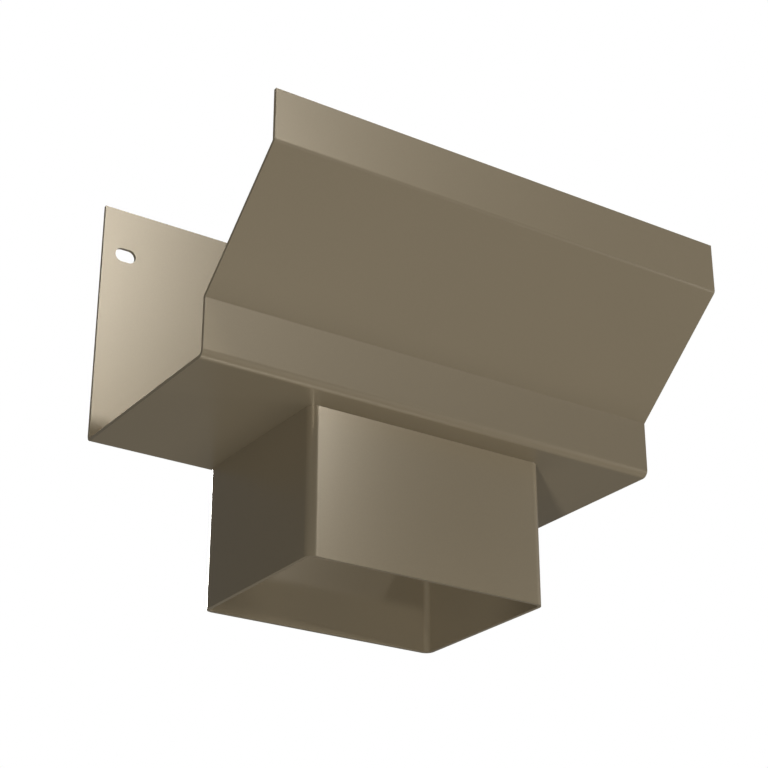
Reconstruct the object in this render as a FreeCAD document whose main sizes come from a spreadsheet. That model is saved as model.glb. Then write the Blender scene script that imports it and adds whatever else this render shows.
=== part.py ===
import FreeCAD, Part
import math
import os
import Sketcher

# Rainwater outlet for a sheet-metal gutter: an open-ended length of folded trough
# with a rectangular spigot welded into its base. Millimetres.
#
# Frame: the origin is the centre of the spigot's lower rim, on the axis of the downpipe.
# +Z is up, +Y points to the wall that the back is fixed to, +X runs along the gutter,
# to the right as seen from the front.

# Driving dimensions: each is measured on the outside of the sheet unless its text says otherwise.
SIZES = {
    "sheet_thickness": (1.3, "wall of the trough and of the spigot"),
    "square_bend_radius": (1.4, "inside radius of the trough's two square bends"),
    "slope_bend_radius": (0.5, "inside radius of the bends at the foot and the head of the slope"),
    "back_height": (94.2, "underside of the base to the top of the back"),
    "low_front_height": (20.8, "underside of the base to the sharp corner where the slope starts"),
    "slope_run": (41.4, "how far the slope leans out towards the front"),
    "slope_rise": (36.2, "height of the slope between its two sharp corners"),
    "lip_height": (19.0, "upright lip above the slope"),
    "spigot_width": (95.0, "outside, along the gutter"),
    "spigot_depth": (70.0, "outside, front to back"),
    "spigot_corner_radius": (2.0, "inside radius of the spigot's corners"),
    "spigot_drop": (52.4, "underside of the base to the spigot's lower rim"),
    "left_land": (47.2, "base left of the spigot, to the trough's left end"),
    "right_land": (39.8, "base right of the spigot, to the trough's right end"),
    "front_land": (12.3, "base in front of the spigot, to the lower front's face"),
    "slot_length": (8.1, "fixing slot, end to end along the gutter"),
    "slot_width": (5.4, "fixing slot, height"),
    "slot_from_end": (9.1, "trough's end to the centre of the slot"),
    "slot_from_top": (18.2, "top of the back to the centre of the slot"),
}
size = {name: value for name, (value, text) in SIZES.items()}

# Sizes that follow from the driving ones: the spigot's back lies against the inner face of the back wall.
trough_length = size["left_land"] + size["spigot_width"] + size["right_land"]
base_depth = size["front_land"] + size["spigot_depth"] + size["sheet_thickness"]
front_height = size["low_front_height"] + size["slope_rise"] + size["lip_height"]
spigot_outer_radius = size["spigot_corner_radius"] + size["sheet_thickness"]

# The same sizes as expressions, for binding constraints and features to the sheet of sizes.
THICKNESS = "Sizes.sheet_thickness"
SQUARE_BEND = "Sizes.square_bend_radius"
SLOPE_BEND = "Sizes.slope_bend_radius"
SPIGOT_BORE_RADIUS = "Sizes.spigot_corner_radius"
SPIGOT_OUTER_RADIUS = "Sizes.spigot_corner_radius + Sizes.sheet_thickness"
TROUGH_LENGTH = "Sizes.left_land + Sizes.spigot_width + Sizes.right_land"
BASE_DEPTH = "Sizes.front_land + Sizes.spigot_depth + Sizes.sheet_thickness"
SLOPE_TOP = "Sizes.low_front_height + Sizes.slope_rise"
FRONT_HEIGHT = SLOPE_TOP + " + Sizes.lip_height"

# A point of a sketch is (geometry number, position); these positions are fixed by the sketcher.
START, END, CENTRE = 1, 2, 3
ORIGIN = (-1, 1)
HORIZONTAL_AXIS, VERTICAL_AXIS = -1, -2

doc = FreeCAD.newDocument("rainwater_outlet")


def make_sheet():
    """The sheet of driving dimensions, one per row: name, value, what it measures."""
    sheet = doc.addObject("Spreadsheet::Sheet", "Sizes")
    for row, (name, (value, text)) in enumerate(SIZES.items(), start=1):
        sheet.set("A%d" % row, name)
        sheet.set("B%d" % row, str(value))
        sheet.set("C%d" % row, text)
        sheet.setAlias("B%d" % row, name)
    doc.recompute()
    return sheet


def make_body(node):
    """An empty body whose name is the node it makes."""
    body = doc.addObject("PartDesign::Body", node)
    body.Label = node
    return body


def make_sketch(body, name, plane_role):
    """An empty sketch on one of the body's own origin planes."""
    plane = next(f for f in body.Origin.OriginFeatures if getattr(f, "Role", "") == plane_role)
    sketch = body.newObject("Sketcher::SketchObject", name)
    sketch.AttachmentSupport = [(plane, "")]
    sketch.MapMode = "FlatFace"
    return sketch


def place(body, x, y, z):
    """Puts a body where three expressions say."""
    for axis, expression in (("x", x), ("y", y), ("z", z)):
        body.setExpression("Placement.Base." + axis, expression)


def bind(sketch, name, expression, kind, *arguments):
    """Adds a dimension to the sketch, names it and binds it to the sheet of sizes."""
    number = sketch.addConstraint(Sketcher.Constraint(kind, *arguments))
    sketch.renameConstraint(number, name)
    sketch.setExpression("Constraints." + name, expression)


def add_line(sketch, start, end):
    return sketch.addGeometry(Part.LineSegment(FreeCAD.Vector(*start), FreeCAD.Vector(*end)), False)


def add_arc(sketch, centre, radius, first_angle, last_angle):
    """An arc that runs anticlockwise from the first angle to the last."""
    circle = Part.Circle(FreeCAD.Vector(*centre), FreeCAD.Vector(0, 0, 1), radius)
    return sketch.addGeometry(Part.ArcOfCircle(circle, first_angle, last_angle), False)


def join(sketch, first, first_end, second, second_end):
    """Joins the ends of a line and an arc, and makes them tangent there."""
    sketch.addConstraint(Sketcher.Constraint("Tangent", first, first_end, second, second_end))


def unit(start, end):
    """The direction from one point to another."""
    length = math.dist(start, end)
    return (end[0] - start[0]) / length, (end[1] - start[1]) / length


def add_rounded_path(sketch, corners, radii):
    """Draws straight runs between corners, with an arc at each inner corner, all tangent.

    Returns the numbers of the runs and of the arcs.
    """
    runs, arcs = [], []
    start = corners[0]
    joint = None
    for before, corner, after, radius in zip(corners, corners[1:], corners[2:], radii):
        heading, leaving = unit(before, corner), unit(corner, after)
        turn = math.atan2(heading[0] * leaving[1] - heading[1] * leaving[0],
                          heading[0] * leaving[0] + heading[1] * leaving[1])
        left = turn > 0
        side = 1 if left else -1
        reach = radius * math.tan(abs(turn) / 2)
        arc_start = (corner[0] - heading[0] * reach, corner[1] - heading[1] * reach)
        arc_end = (corner[0] + leaving[0] * reach, corner[1] + leaving[1] * reach)
        centre = (arc_start[0] - side * heading[1] * radius, arc_start[1] + side * heading[0] * radius)
        first, last = (arc_start, arc_end) if left else (arc_end, arc_start)
        first_angle = math.atan2(first[1] - centre[1], first[0] - centre[0])
        last_angle = math.atan2(last[1] - centre[1], last[0] - centre[0])
        if last_angle < first_angle:
            last_angle += 2 * math.pi
        run = add_line(sketch, start, arc_start)
        arc = add_arc(sketch, centre, radius, first_angle, last_angle)
        if joint:
            join(sketch, *joint, run, START)
        join(sketch, run, END, arc, START if left else END)
        runs.append(run)
        arcs.append(arc)
        joint = (arc, END if left else START)
        start = arc_end
    run = add_line(sketch, start, corners[-1])
    join(sketch, *joint, run, START)
    runs.append(run)
    return runs, arcs


def offset_corners(corners, distance):
    """The same run of corners, moved to its right-hand side by a distance; its ends stay square."""
    moved = []
    for i, corner in enumerate(corners):
        before = unit(corners[i - 1], corner) if i else unit(corner, corners[1])
        after = unit(corner, corners[i + 1]) if i + 1 < len(corners) else before
        normals = (before[1] + after[1], -before[0] - after[0])
        scale = distance / (1 + before[0] * after[0] + before[1] * after[1])
        moved.append((corner[0] + normals[0] * scale, corner[1] + normals[1] * scale))
    return moved


def draw_trough_section(sketch):
    """The section of the folded sheet, seen along the gutter: across is depth, up is height.

    The zero point is the sharp corner between the base's underside and the lower front's face.
    """
    outside = [
        (base_depth, size["back_height"]),
        (base_depth, 0),
        (0, 0),
        (0, size["low_front_height"]),
        (-size["slope_run"], size["low_front_height"] + size["slope_rise"]),
        (-size["slope_run"], front_height),
    ]
    square, sloped, wall = size["square_bend_radius"], size["slope_bend_radius"], size["sheet_thickness"]
    inside = offset_corners(outside, wall)
    # the third bend, at the foot of the slope, turns the other way, so its radii are swapped
    out_runs, out_arcs = add_rounded_path(sketch, outside, [square + wall, square + wall, sloped, sloped + wall])
    in_runs, in_arcs = add_rounded_path(sketch, inside, [square, square, sloped + wall, sloped])
    back, base, low_front, slope, lip = out_runs
    back_inside, lip_inside = in_runs[0], in_runs[-1]

    for outside_run, inside_run, end in ((back, back_inside, START), (lip, lip_inside, END)):
        position = 0 if end == START else -1
        edge = add_line(sketch, outside[position], inside[position])
        sketch.addConstraint(Sketcher.Constraint("Coincident", outside_run, end, edge, START))
        sketch.addConstraint(Sketcher.Constraint("Coincident", edge, END, inside_run, end))
        sketch.addConstraint(Sketcher.Constraint("Horizontal", edge))
    for upright in (back, low_front, lip, back_inside, lip_inside):
        sketch.addConstraint(Sketcher.Constraint("Vertical", upright))
    sketch.addConstraint(Sketcher.Constraint("Horizontal", base))
    for out_arc, in_arc in zip(out_arcs, in_arcs):
        sketch.addConstraint(Sketcher.Constraint("Coincident", out_arc, CENTRE, in_arc, CENTRE))

    bends = (
        ("back_bend", SQUARE_BEND, square),
        ("front_bend", SQUARE_BEND, square),
        ("slope_foot", SLOPE_BEND, sloped),
        ("slope_head", SLOPE_BEND, sloped),
    )
    for (name, expression, radius), out_arc, in_arc in zip(bends, out_arcs, in_arcs):
        tight, wide = (out_arc, in_arc) if name == "slope_foot" else (in_arc, out_arc)
        bind(sketch, name + "_inner", expression, "Radius", tight, radius)
        bind(sketch, name + "_outer", expression + " + " + THICKNESS, "Radius", wide, radius + wall)

    sketch.addConstraint(Sketcher.Constraint("PointOnObject", low_front, START, VERTICAL_AXIS))
    sketch.addConstraint(Sketcher.Constraint("PointOnObject", base, START, HORIZONTAL_AXIS))
    bind(sketch, "base_depth", BASE_DEPTH, "DistanceX", *ORIGIN, back, START, base_depth)
    bind(sketch, "back_height", "Sizes.back_height", "DistanceY", *ORIGIN, back, START, size["back_height"])
    bind(sketch, "front_height", FRONT_HEIGHT, "DistanceY", *ORIGIN, lip, END, front_height)
    bind(sketch, "slope_run", "Sizes.slope_run", "DistanceX", lip, END, *ORIGIN, size["slope_run"])

    # the slope is set by its two sharp corners, which the bends round off
    foot = sketch.addGeometry(Part.Point(FreeCAD.Vector(*outside[3])), True)
    head = sketch.addGeometry(Part.Point(FreeCAD.Vector(*outside[4])), True)
    for corner, upright in ((foot, low_front), (head, lip)):
        sketch.addConstraint(Sketcher.Constraint("PointOnObject", corner, START, upright))
        sketch.addConstraint(Sketcher.Constraint("PointOnObject", corner, START, slope))
    bind(sketch, "slope_foot_height", "Sizes.low_front_height", "DistanceY", *ORIGIN, foot, START, outside[3][1])
    bind(sketch, "slope_head_height", SLOPE_TOP, "DistanceY", *ORIGIN, head, START, outside[4][1])


def draw_rounded_rectangle(sketch, prefix, low, high, radius, expressions):
    """A rectangle with rounded corners, between a low and a high corner.

    The expressions set, in turn, its left and front sides' places, its width, its depth and its corner radius.
    """
    (left, front), (right, rear) = low, high
    middle = ((left + right) / 2, front)
    corners = [middle, (right, front), (right, rear), (left, rear), (left, front), middle]
    runs, arcs = add_rounded_path(sketch, corners, [radius] * 4)
    # the path starts and ends in the middle of the front side
    sketch.addConstraint(Sketcher.Constraint("Coincident", runs[4], END, runs[0], START))
    sketch.addConstraint(Sketcher.Constraint("Symmetric", runs[4], START, runs[0], END, runs[0], START))
    for horizontal in (runs[0], runs[2]):
        sketch.addConstraint(Sketcher.Constraint("Horizontal", horizontal))
    for upright in (runs[1], runs[3]):
        sketch.addConstraint(Sketcher.Constraint("Vertical", upright))
    for arc in arcs[1:]:
        sketch.addConstraint(Sketcher.Constraint("Equal", arcs[0], arc))
    left_place, front_place, width, depth, corner_radius = expressions
    bind(sketch, prefix + "_width", width, "DistanceX", runs[3], START, runs[1], START, right - left)
    bind(sketch, prefix + "_depth", depth, "DistanceY", runs[0], START, runs[2], START, rear - front)
    bind(sketch, prefix + "_radius", corner_radius, "Radius", arcs[0], radius)
    bind(sketch, prefix + "_left", left_place, "DistanceX", *ORIGIN, runs[3], START, left)
    bind(sketch, prefix + "_front", front_place, "DistanceY", *ORIGIN, runs[0], START, front)


def draw_slot(sketch):
    """One fixing slot of the back wall, its round ends to the left and the right."""
    x, z = size["slot_from_end"], size["back_height"] - size["slot_from_top"]
    radius = size["slot_width"] / 2
    half_run = (size["slot_length"] - size["slot_width"]) / 2
    left_end = add_arc(sketch, (x - half_run, z), radius, math.pi / 2, 3 * math.pi / 2)
    right_end = add_arc(sketch, (x + half_run, z), radius, -math.pi / 2, math.pi / 2)
    under = add_line(sketch, (x - half_run, z - radius), (x + half_run, z - radius))
    over = add_line(sketch, (x + half_run, z + radius), (x - half_run, z + radius))
    join(sketch, left_end, END, under, START)
    join(sketch, under, END, right_end, START)
    join(sketch, right_end, END, over, START)
    join(sketch, over, END, left_end, START)
    sketch.addConstraint(Sketcher.Constraint("Horizontal", under))
    sketch.addConstraint(Sketcher.Constraint("Equal", left_end, right_end))
    centre = sketch.addGeometry(Part.Point(FreeCAD.Vector(x, z)), True)
    sketch.addConstraint(Sketcher.Constraint("Symmetric", left_end, CENTRE, right_end, CENTRE, centre, START))
    bind(sketch, "end_radius", "Sizes.slot_width / 2", "Radius", left_end, radius)
    bind(sketch, "between_ends", "Sizes.slot_length - Sizes.slot_width",
         "DistanceX", left_end, CENTRE, right_end, CENTRE, 2 * half_run)
    bind(sketch, "from_end", "Sizes.slot_from_end", "DistanceX", *ORIGIN, centre, START, x)
    bind(sketch, "height", "Sizes.back_height - Sizes.slot_from_top", "DistanceY", *ORIGIN, centre, START, z)


def make_trough():
    """The folded trough: its section pulled along the gutter, the spigot's opening and the two fixing slots."""
    body = make_body("gutter_trough")
    section = make_sketch(body, "trough_section", "YZ_Plane")
    draw_trough_section(section)
    sheet_run = body.newObject("PartDesign::Pad", "folded_sheet")
    sheet_run.Profile = section
    sheet_run.setExpression("Length", TROUGH_LENGTH)
    doc.recompute()

    # the opening takes the whole spigot and reaches the back wall's inner face,
    # so it is cut up through the inside of the back bend as well
    left, front = size["left_land"], size["front_land"]
    outline = make_sketch(body, "opening_outline", "XY_Plane")
    draw_rounded_rectangle(outline, "opening", (left, front),
                           (left + size["spigot_width"], front + size["spigot_depth"]), spigot_outer_radius,
                           ("Sizes.left_land", "Sizes.front_land", "Sizes.spigot_width",
                            "Sizes.spigot_depth", SPIGOT_OUTER_RADIUS))
    opening = body.newObject("PartDesign::Pocket", "spigot_opening")
    opening.Profile = outline
    opening.Reversed = True
    opening.setExpression("Length", SQUARE_BEND + " + " + THICKNESS)
    doc.recompute()

    slot_sketch = make_sketch(body, "slot_outline", "XZ_Plane")
    slot_sketch.setExpression("AttachmentOffset.Base.z", "-(%s)" % BASE_DEPTH)
    draw_slot(slot_sketch)
    slot = body.newObject("PartDesign::Pocket", "fixing_slot")
    slot.Profile = slot_sketch
    slot.Reversed = True
    slot.setExpression("Length", THICKNESS)
    doc.recompute()

    both_slots = body.newObject("PartDesign::LinearPattern", "fixing_slots")
    both_slots.Originals = [slot]
    both_slots.Direction = (slot_sketch, ["H_Axis"])
    both_slots.Occurrences = 2
    both_slots.setExpression("Length", "%s - 2 * Sizes.slot_from_end" % TROUGH_LENGTH)
    body.Tip = both_slots
    place(body, "-Sizes.left_land - Sizes.spigot_width / 2",
          "-Sizes.front_land - Sizes.spigot_depth / 2", "Sizes.spigot_drop")
    doc.recompute()
    return body


def make_spigot():
    """The rectangular tube: it hangs below the base and is let into it, flush with the trough's floor."""
    body = make_body("outlet_spigot")
    section = make_sketch(body, "spigot_section", "XY_Plane")
    half_width, half_depth = size["spigot_width"] / 2, size["spigot_depth"] / 2
    wall = size["sheet_thickness"]
    draw_rounded_rectangle(section, "outside", (-half_width, -half_depth), (half_width, half_depth),
                           spigot_outer_radius,
                           ("-Sizes.spigot_width / 2", "-Sizes.spigot_depth / 2",
                            "Sizes.spigot_width", "Sizes.spigot_depth", SPIGOT_OUTER_RADIUS))
    draw_rounded_rectangle(section, "bore", (wall - half_width, wall - half_depth),
                           (half_width - wall, half_depth - wall), size["spigot_corner_radius"],
                           ("Sizes.sheet_thickness - Sizes.spigot_width / 2",
                            "Sizes.sheet_thickness - Sizes.spigot_depth / 2",
                            "Sizes.spigot_width - 2 * Sizes.sheet_thickness",
                            "Sizes.spigot_depth - 2 * Sizes.sheet_thickness", SPIGOT_BORE_RADIUS))
    tube = body.newObject("PartDesign::Pad", "spigot_tube")
    tube.Profile = section
    tube.setExpression("Length", "Sizes.spigot_drop + Sizes.sheet_thickness")
    doc.recompute()
    return body


def check(bodies):
    """Stops if any object failed, a sketch isn't fully set, or a piece isn't one valid solid."""
    for obj in doc.Objects:
        if "Invalid" in obj.State or "Error" in obj.State:
            raise RuntimeError("%s failed: %s" % (obj.Name, obj.State))
        if obj.TypeId == "Sketcher::SketchObject" and not obj.FullyConstrained:
            raise RuntimeError("%s isn't fully constrained" % obj.Name)
    for body in bodies:
        shape = body.Shape
        if shape.isNull() or not shape.isValid() or len(shape.Solids) != 1:
            raise RuntimeError("%s isn't one valid solid" % body.Label)


def main():
    make_sheet()
    bodies = [make_trough(), make_spigot()]
    check(bodies)
    os.makedirs("parts", exist_ok=True)
    for body in bodies:
        body.Shape.exportStep("parts/%s.step" % body.Label)
        box = body.Shape.BoundBox
        print("%-14s volume %9.1f mm3  x %.2f..%.2f  y %.2f..%.2f  z %.2f..%.2f"
              % (body.Label, body.Shape.Volume, box.XMin, box.XMax, box.YMin, box.YMax, box.ZMin, box.ZMax))


main()
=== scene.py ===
"""Coats a rainwater outlet and sets it on a pale floor under soft studio light.

All lengths are in metres, in the frame of its CAD model.
"""

import math

import bpy
from bpy.props import FloatProperty, FloatVectorProperty, PointerProperty
from mathutils import Euler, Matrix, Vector


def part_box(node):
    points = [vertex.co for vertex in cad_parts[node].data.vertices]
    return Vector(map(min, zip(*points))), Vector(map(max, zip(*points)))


bl_info = {
    "name": "Rainwater outlet",
    "version": (1, 0, 0),
    "blender": (4, 5, 0),
    "location": "3D View > Sidebar > Outlet",
    "description": "Coats a folded gutter outlet and its spigot, and sets the stage for a picture",
    "category": "Object",
}

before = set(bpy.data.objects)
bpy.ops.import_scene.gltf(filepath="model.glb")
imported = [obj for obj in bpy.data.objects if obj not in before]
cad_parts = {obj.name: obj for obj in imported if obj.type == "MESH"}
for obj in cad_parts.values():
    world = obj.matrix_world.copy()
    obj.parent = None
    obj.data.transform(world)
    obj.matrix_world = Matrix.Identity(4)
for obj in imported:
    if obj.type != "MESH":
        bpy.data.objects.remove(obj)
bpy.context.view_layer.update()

TROUGH = "gutter_trough"
SPIGOT = "outlet_spigot"

# Where the trough's faces turn inwards most, in metres from the spigot's middle.
CALM_LINE_Y = -0.026

WHITE = (1.0, 1.0, 1.0, 1.0)

# The coat's grain: how far it varies the tone and the roughness, and the range of the noise that is used.
GRAIN_TONE = 0.02
GRAIN_ROUGHNESS = 0.012
GRAIN_RANGE = (0.3, 0.7)

# Its clouds: how many waves to a metre, the range of the noise that is used, and the tint of the darkest.
CLOUDS_PER_METRE = 14.0
CLOUD_RANGE = (0.35, 0.65)
CLOUD_TINT = (0.985, 0.987, 0.99, 1.0)

# The camera of the photograph, solved from the object's straight edges.
CAMERA_PLACE = (-0.33059, -0.50492, -0.19424)
CAMERA_TURN_DEG = (114.8439, 0.0, -33.5598)
CAMERA_LENS_MM = 85.603
CAMERA_SENSOR_MM = 36.0

# The white card behind the object, from the camera, and the wall round the floor, in metres.
BACKDROP_DISTANCE = 3.5
BACKDROP_WIDTH = 2.0
WALL_HEIGHT = 5.0
WALL_SIDES = 96
CARD_COLOUR = (0.8, 0.8, 0.8, 1.0)

# The roughness of the floor and of the white card.
MATT = 0.9

# Lamps far away: name, azimuth from the front (+ to the right), elevation, width, strength, and what it lights
# alone. Their rays are parallel, so the distance only says where the lamp is drawn.
LAMP_DISTANCE = 2.0
FAR_LAMPS = (
    ("key_on_trough", 17.0, 28.0, 2.5, 0.381, TROUGH),
    ("key_on_spigot", 17.0, 28.0, 2.5, 0.381, SPIGOT),
    ("right_side_fill", 68.6, -1.1, 4.0, 2.661, None),
    ("left_low_fill", -49.6, -33.5, 4.0, 1.601, None),
    ("front_low_fill", 1.8, -13.8, 4.0, 0.646, None),
    ("under_right_fill", 71.9, -78.2, 28.0, 0.5, None),
    ("under_back_fill", 177.0, -82.8, 28.0, 0.73, None),
    ("top_softbox", -40.0, 66.0, 24.0, 2.249, None),
    ("back_softbox", 165.0, 20.0, 20.0, 3.0, None),
)


class OutletCoatSettings(bpy.types.PropertyGroup):
    """The look of the powder coat."""

    coat_colour: FloatVectorProperty(
        name="Coat colour",
        description="Colour of the pearl beige powder coat, linear",
        subtype="COLOR",
        size=3,
        min=0.0,
        max=1.0,
        default=(0.2145, 0.1745, 0.1125),
    )
    pearl_share: FloatProperty(
        name="Pearl share",
        description="How much of the coat shines like metal, from its mica flakes",
        subtype="FACTOR",
        min=0.0,
        max=1.0,
        default=0.33,
    )
    shine_level: FloatProperty(
        name="Shine level",
        description="How strongly the clear part of the coat shines, 0.5 for a common lacquer",
        subtype="FACTOR",
        min=0.0,
        max=1.0,
        default=0.85,
    )
    roughness: FloatProperty(
        name="Roughness",
        description="Mean roughness of the satin coat",
        subtype="FACTOR",
        min=0.0,
        max=1.0,
        default=0.29,
    )
    peel_size: FloatProperty(
        name="Orange peel size",
        description="Width of the low waves that a powder coat sets with",
        subtype="DISTANCE",
        unit="LENGTH",
        min=0.0002,
        max=0.02,
        default=0.0016,
    )
    peel_depth: FloatProperty(
        name="Orange peel depth",
        description="Height of those waves",
        subtype="DISTANCE",
        unit="LENGTH",
        min=0.0,
        max=0.001,
        default=0.0000015,
    )
    trough_crown: FloatProperty(
        name="Crown of the trough",
        description="How far the shine of the lip turns outwards at its two ends",
        subtype="ANGLE",
        unit="ROTATION",
        min=0.0,
        max=0.2,
        default=math.radians(1.75),
    )
    trough_dip: FloatProperty(
        name="Dip of the trough",
        description="How far that shine turns inwards at the two ends along the calm line",
        subtype="ANGLE",
        unit="ROTATION",
        min=0.0,
        max=0.2,
        default=math.radians(1.2),
    )
    spigot_crown: FloatProperty(
        name="Crown of the spigot",
        description="How far the shine of the spigot's faces turns outwards at its corners",
        subtype="ANGLE",
        unit="ROTATION",
        min=0.0,
        max=0.2,
        default=math.radians(5.2),
    )
    grain_size: FloatProperty(
        name="Grain size",
        description="Width of the fine grain in the coat",
        subtype="DISTANCE",
        unit="LENGTH",
        min=0.00005,
        max=0.005,
        default=0.0004,
    )


class OutletStageSettings(bpy.types.PropertyGroup):
    """The floor and the light."""

    floor_colour: FloatVectorProperty(
        name="Floor colour",
        description="Colour of the plain pale floor, linear",
        subtype="COLOR",
        size=3,
        min=0.0,
        max=1.0,
        default=(0.8, 0.8, 0.8),
    )
    floor_width: FloatProperty(
        name="Floor width",
        description="Side of the square floor",
        subtype="DISTANCE",
        unit="LENGTH",
        min=1.0,
        max=50.0,
        default=12.0,
    )
    floor_gap: FloatProperty(
        name="Floor gap",
        description="How far the floor lies below the spigot's rim, so that the two faces don't coincide",
        subtype="DISTANCE",
        unit="LENGTH",
        min=0.0,
        max=0.01,
        default=0.0003,
    )
    room_light: FloatProperty(
        name="Room light",
        description="Brightness of the even light from all round",
        min=0.0,
        max=2.0,
        default=0.115,
    )


def squares(nodes, links, place, centre):
    """The squares of the distances along X and along Y from a centre."""
    moved = nodes.new("ShaderNodeVectorMath")
    moved.operation = "SUBTRACT"
    moved.inputs[1].default_value = centre
    links.new(place, moved.inputs[0])
    squared = nodes.new("ShaderNodeVectorMath")
    squared.operation = "MULTIPLY"
    links.new(moved.outputs["Vector"], squared.inputs[0])
    links.new(moved.outputs["Vector"], squared.inputs[1])
    parts = nodes.new("ShaderNodeSeparateXYZ")
    links.new(squared.outputs["Vector"], parts.inputs["Vector"])
    return parts.outputs["X"], parts.outputs["Y"]


def sink(nodes, links, height):
    """Bump that lowers the surface by half of a height in metres."""
    bump = nodes.new("ShaderNodeBump")
    bump.invert = True
    bump.inputs["Strength"].default_value = 1.0
    bump.inputs["Distance"].default_value = 0.5
    links.new(height, bump.inputs["Height"])
    return bump.outputs["Normal"]


def trough_crown(settings, nodes, links, place):
    """Turns the lip and the back outwards towards the trough's ends, and the lower front a little inwards."""
    low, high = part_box(TROUGH)
    middle = (low + high) / 2
    along, over = squares(nodes, links, place, (middle.x, CALM_LINE_Y, 0.0))
    share = nodes.new("ShaderNodeMath")
    share.operation = "MULTIPLY_ADD"
    turn = settings.trough_crown + settings.trough_dip
    share.inputs[1].default_value = turn / (low.y - CALM_LINE_Y) ** 2 / (high.x - middle.x)
    share.inputs[2].default_value = -settings.trough_dip / (high.x - middle.x)
    links.new(over, share.inputs[0])
    height = nodes.new("ShaderNodeMath")
    height.operation = "MULTIPLY"
    links.new(along, height.inputs[0])
    links.new(share.outputs["Value"], height.inputs[1])
    return sink(nodes, links, height.outputs["Value"])


def spigot_crown(settings, nodes, links, place):
    """Lets the spigot's faces turn outwards towards its corners."""
    low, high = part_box(SPIGOT)
    along, over = squares(nodes, links, place, (low + high) / 2)
    wide = nodes.new("ShaderNodeMath")
    wide.operation = "MULTIPLY"
    wide.inputs[1].default_value = 2 * settings.spigot_crown / (high.x - low.x)
    links.new(along, wide.inputs[0])
    height = nodes.new("ShaderNodeMath")
    height.operation = "MULTIPLY_ADD"
    height.inputs[1].default_value = 2 * settings.spigot_crown / (high.y - low.y)
    links.new(over, height.inputs[0])
    links.new(wide.outputs["Value"], height.inputs[2])
    return sink(nodes, links, height.outputs["Value"])


def powder_coat(settings, name, crown):
    """Satin pearl powder coat on one node, over sheet faces with a slight crown."""
    coat = bpy.data.materials.new("powder_coat_" + name)
    coat.use_nodes = True
    nodes = coat.node_tree.nodes
    links = coat.node_tree.links
    shader = nodes["Principled BSDF"]
    shader.inputs["Metallic"].default_value = settings.pearl_share
    shader.inputs["Specular IOR Level"].default_value = settings.shine_level
    place = nodes.new("ShaderNodeTexCoord")

    grain = nodes.new("ShaderNodeTexNoise")
    grain.inputs["Scale"].default_value = 1.0 / settings.grain_size
    grain.inputs["Detail"].default_value = 2.0
    links.new(place.outputs["Object"], grain.inputs["Vector"])
    cloud = nodes.new("ShaderNodeTexNoise")
    cloud.inputs["Scale"].default_value = CLOUDS_PER_METRE
    cloud.inputs["Detail"].default_value = 3.0
    links.new(place.outputs["Object"], cloud.inputs["Vector"])
    peel = nodes.new("ShaderNodeTexNoise")
    peel.inputs["Scale"].default_value = 1.0 / settings.peel_size
    peel.inputs["Detail"].default_value = 1.0
    links.new(place.outputs["Object"], peel.inputs["Vector"])

    base = Vector(settings.coat_colour)
    tone = nodes.new("ShaderNodeValToRGB")
    tone.color_ramp.elements[0].position = GRAIN_RANGE[0]
    tone.color_ramp.elements[0].color = (*(base * (1.0 - GRAIN_TONE)), 1.0)
    tone.color_ramp.elements[1].position = GRAIN_RANGE[1]
    tone.color_ramp.elements[1].color = (*(base * (1.0 + GRAIN_TONE)), 1.0)
    links.new(grain.outputs["Fac"], tone.inputs["Fac"])
    cloudy = nodes.new("ShaderNodeValToRGB")
    cloudy.color_ramp.elements[0].position = CLOUD_RANGE[0]
    cloudy.color_ramp.elements[0].color = CLOUD_TINT
    cloudy.color_ramp.elements[1].position = CLOUD_RANGE[1]
    cloudy.color_ramp.elements[1].color = WHITE
    links.new(cloud.outputs["Fac"], cloudy.inputs["Fac"])
    tint = nodes.new("ShaderNodeMix")
    tint.data_type = "RGBA"
    tint.blend_type = "MULTIPLY"
    tint.inputs["Factor"].default_value = 1.0
    links.new(tone.outputs["Color"], tint.inputs["A"])
    links.new(cloudy.outputs["Color"], tint.inputs["B"])
    links.new(tint.outputs["Result"], shader.inputs["Base Color"])

    rough = nodes.new("ShaderNodeMapRange")
    rough.inputs["From Min"].default_value = GRAIN_RANGE[0]
    rough.inputs["From Max"].default_value = GRAIN_RANGE[1]
    rough.inputs["To Min"].default_value = settings.roughness - GRAIN_ROUGHNESS
    rough.inputs["To Max"].default_value = settings.roughness + GRAIN_ROUGHNESS
    links.new(grain.outputs["Fac"], rough.inputs["Value"])
    links.new(rough.outputs["Result"], shader.inputs["Roughness"])

    waves = nodes.new("ShaderNodeBump")
    links.new(crown(settings, nodes, links, place.outputs["Object"]), waves.inputs["Normal"])
    waves.inputs["Strength"].default_value = 1.0
    waves.inputs["Distance"].default_value = settings.peel_depth
    links.new(peel.outputs["Fac"], waves.inputs["Height"])
    links.new(waves.outputs["Normal"], shader.inputs["Normal"])
    return coat


def coat_node(name, crown):
    """Gives a CAD node the powder coat in place of its plain material."""
    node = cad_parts[name]
    coat = powder_coat(bpy.context.scene.outlet_coat, name, crown)
    if not node.material_slots:
        raise RuntimeError(f"{name} has no material slot to coat")
    for slot in node.material_slots:
        slot.material = coat


class OUTLET_OT_coat_trough(bpy.types.Operator):
    """Coats the folded gutter trough"""

    bl_idname = "outlet.coat_trough"
    bl_label = "Coat the trough"

    def execute(self, context):
        coat_node(TROUGH, trough_crown)
        return {"FINISHED"}


class OUTLET_OT_coat_spigot(bpy.types.Operator):
    """Coats the downpipe spigot"""

    bl_idname = "outlet.coat_spigot"
    bl_label = "Coat the spigot"

    def execute(self, context):
        coat_node(SPIGOT, spigot_crown)
        return {"FINISHED"}


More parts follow.
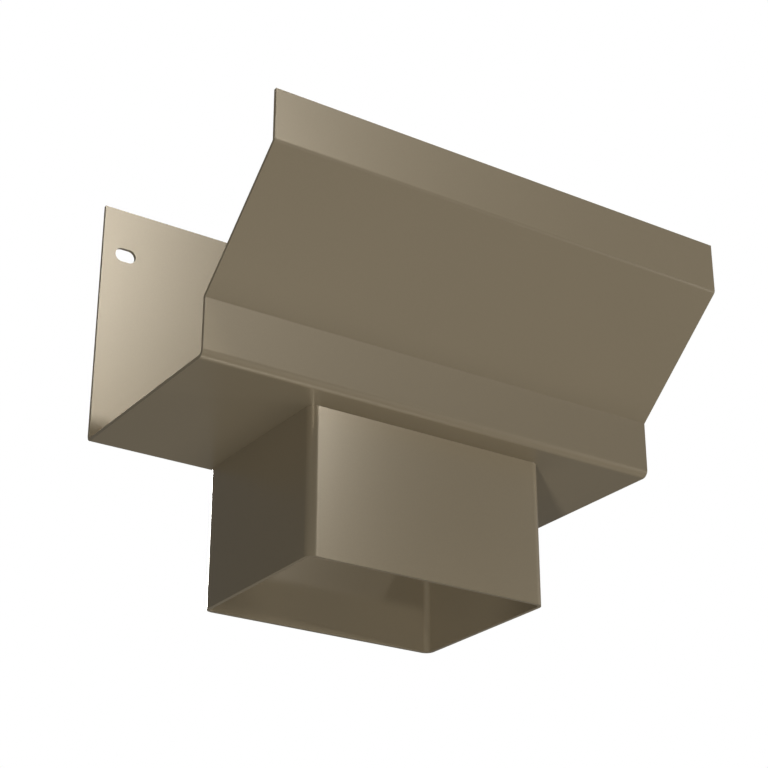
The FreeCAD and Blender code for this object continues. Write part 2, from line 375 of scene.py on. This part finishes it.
def floor_material(colour):
    """Plain pale floor that the camera sees through from below, where the photograph was taken from."""
    material = bpy.data.materials.new("pale_floor")
    material.use_nodes = True
    nodes = material.node_tree.nodes
    links = material.node_tree.links
    shader = nodes["Principled BSDF"]
    shader.inputs["Base Color"].default_value = (*colour, 1.0)
    shader.inputs["Roughness"].default_value = MATT
    side = nodes.new("ShaderNodeNewGeometry")
    ray = nodes.new("ShaderNodeLightPath")
    from_below = nodes.new("ShaderNodeMath")
    from_below.operation = "MULTIPLY"
    links.new(side.outputs["Backfacing"], from_below.inputs[0])
    links.new(ray.outputs["Is Camera Ray"], from_below.inputs[1])
    clear = nodes.new("ShaderNodeBsdfTransparent")
    either = nodes.new("ShaderNodeMixShader")
    links.new(from_below.outputs["Value"], either.inputs["Fac"])
    links.new(shader.outputs["BSDF"], either.inputs[1])
    links.new(clear.outputs["BSDF"], either.inputs[2])
    links.new(either.outputs["Shader"], nodes["Material Output"].inputs["Surface"])
    return material


def lay_floor(settings):
    """Lays the floor just under the rim that the outlet stands on."""
    bpy.ops.object.select_all(action="DESELECT")
    bpy.ops.mesh.primitive_plane_add(size=settings.floor_width, location=(0.0, 0.0, -settings.floor_gap))
    floor = bpy.context.object
    floor.name = "floor"
    bpy.ops.object.transform_apply(location=True, rotation=True, scale=True)
    floor.data.materials.append(floor_material(settings.floor_colour))
    floor.visible_shadow = False
    floor.visible_diffuse = False
    floor.visible_glossy = False


def backdrop_material():
    """White behind the object for the camera and in its shine, and plain pale card for other light."""
    material = bpy.data.materials.new("white_backdrop")
    material.use_nodes = True
    nodes = material.node_tree.nodes
    links = material.node_tree.links
    card = nodes["Principled BSDF"]
    card.inputs["Base Color"].default_value = CARD_COLOUR
    card.inputs["Roughness"].default_value = MATT
    ray = nodes.new("ShaderNodeLightPath")
    seen = nodes.new("ShaderNodeMath")
    seen.operation = "MAXIMUM"
    links.new(ray.outputs["Is Camera Ray"], seen.inputs[0])
    links.new(ray.outputs["Is Glossy Ray"], seen.inputs[1])
    shown = nodes.new("ShaderNodeMath")
    shown.operation = "MAXIMUM"
    links.new(seen.outputs["Value"], shown.inputs[0])
    links.new(ray.outputs["Is Transmission Ray"], shown.inputs[1])
    white = nodes.new("ShaderNodeEmission")
    white.inputs["Color"].default_value = WHITE
    white.inputs["Strength"].default_value = 1.0
    either = nodes.new("ShaderNodeMixShader")
    links.new(shown.outputs["Value"], either.inputs["Fac"])
    links.new(card.outputs["BSDF"], either.inputs[1])
    links.new(white.outputs["Emission"], either.inputs[2])
    links.new(either.outputs["Shader"], nodes["Material Output"].inputs["Surface"])
    return material


def hang_backdrop(distance, width):
    """Hangs a white card square to the camera's view, far behind the object."""
    turn = Euler([math.radians(angle) for angle in CAMERA_TURN_DEG])
    ahead = turn.to_matrix() @ Vector((0.0, 0.0, -1.0))
    bpy.ops.object.select_all(action="DESELECT")
    place = Vector(CAMERA_PLACE) + ahead * distance
    bpy.ops.mesh.primitive_plane_add(size=width, location=place, rotation=turn)
    backdrop = bpy.context.object
    backdrop.name = "backdrop"
    bpy.ops.object.transform_apply(location=True, rotation=True, scale=True)
    backdrop.data.materials.append(backdrop_material())
    backdrop.visible_shadow = False


def build_wall(floor_width, height):
    """Sets a round white wall on the floor, for cameras that look past its edge."""
    bpy.ops.object.select_all(action="DESELECT")
    bpy.ops.mesh.primitive_cylinder_add(
        vertices=WALL_SIDES,
        radius=floor_width / 2,
        depth=height,
        end_fill_type="NOTHING",
        location=(0.0, 0.0, height / 2),
    )
    wall = bpy.context.object
    wall.name = "backdrop_wall"
    bpy.ops.object.transform_apply(location=True, rotation=True, scale=True)
    wall.data.materials.append(bpy.data.materials["white_backdrop"])
    wall.visible_shadow = False
    wall.visible_diffuse = False
    wall.visible_glossy = False


def light_room(strength):
    """Even, colourless light from all round."""
    world = bpy.data.worlds.new("plain_room")
    bpy.context.scene.world = world
    world.use_nodes = True
    even = world.node_tree.nodes["Background"]
    even.inputs["Color"].default_value = WHITE
    even.inputs["Strength"].default_value = strength


def light_alone(lamp, name):
    """Makes a lamp light one node: the spigot without the trough's shadow, or the trough and the floor."""
    lit = bpy.data.collections.new(lamp.name + "_lights")
    lit.objects.link(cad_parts[name])
    lamp.light_linking.receiver_collection = lit
    if name == SPIGOT:
        lamp.light_linking.blocker_collection = lit
    else:
        lit.objects.link(bpy.data.objects["floor"])


def hang_far_lamp(name, azimuth, elevation, width, strength, alone):
    """Adds one soft lamp so far off that its rays are parallel."""
    around = math.radians(azimuth)
    up = math.radians(elevation)
    towards = Vector((math.sin(around) * math.cos(up), -math.cos(around) * math.cos(up), math.sin(up)))
    bpy.ops.object.light_add(type="SUN", location=towards * LAMP_DISTANCE)
    lamp = bpy.context.object
    lamp.name = name
    lamp.rotation_euler = towards.to_track_quat("Z", "Y").to_euler()
    lamp.data.angle = math.radians(width)
    lamp.data.energy = strength
    if alone:
        light_alone(lamp, alone)


def place_camera():
    """Puts the camera where the photograph was taken from."""
    turn = [math.radians(angle) for angle in CAMERA_TURN_DEG]
    bpy.ops.object.camera_add(location=CAMERA_PLACE, rotation=turn)
    camera = bpy.context.object
    camera.name = "photograph_camera"
    camera.data.sensor_width = CAMERA_SENSOR_MM
    camera.data.lens = CAMERA_LENS_MM
    bpy.context.scene.camera = camera


class OUTLET_OT_set_stage(bpy.types.Operator):
    """Lays the floor, lights the room and places the camera"""

    bl_idname = "outlet.set_stage"
    bl_label = "Set the stage"

    def execute(self, context):
        settings = context.scene.outlet_stage
        lay_floor(settings)
        hang_backdrop(BACKDROP_DISTANCE, BACKDROP_WIDTH)
        build_wall(settings.floor_width, WALL_HEIGHT)
        light_room(settings.room_light)
        for lamp in FAR_LAMPS:
            hang_far_lamp(*lamp)
        place_camera()
        context.scene.view_settings.view_transform = "Standard"
        return {"FINISHED"}


class OUTLET_PT_panel(bpy.types.Panel):
    """Lists the outlet's operators and settings"""

    bl_idname = "OUTLET_PT_panel"
    bl_label = "Rainwater outlet"
    bl_space_type = "VIEW_3D"
    bl_region_type = "UI"
    bl_category = "Outlet"

    def draw(self, context):
        column = self.layout.column()
        for operator in STEPS:
            column.operator(operator.bl_idname)
        for settings in (context.scene.outlet_coat, context.scene.outlet_stage):
            for name in settings.__annotations__:
                column.prop(settings, name)


SETTINGS = (OutletCoatSettings, OutletStageSettings)
STEPS = (OUTLET_OT_coat_trough, OUTLET_OT_coat_spigot, OUTLET_OT_set_stage)


def register():
    """Makes the settings, the operators and the panel known."""
    for group in (*SETTINGS, *STEPS, OUTLET_PT_panel):
        bpy.utils.register_class(group)
    bpy.types.Scene.outlet_coat = PointerProperty(type=OutletCoatSettings)
    bpy.types.Scene.outlet_stage = PointerProperty(type=OutletStageSettings)


def unregister():
    """Takes them away again."""
    del bpy.types.Scene.outlet_stage
    del bpy.types.Scene.outlet_coat
    for group in reversed((*SETTINGS, *STEPS, OUTLET_PT_panel)):
        bpy.utils.unregister_class(group)


def main():
    """Runs every step in order."""
    register()
    bpy.ops.outlet.coat_trough()
    bpy.ops.outlet.coat_spigot()
    bpy.ops.outlet.set_stage()


if __name__ == "__main__":
    main()
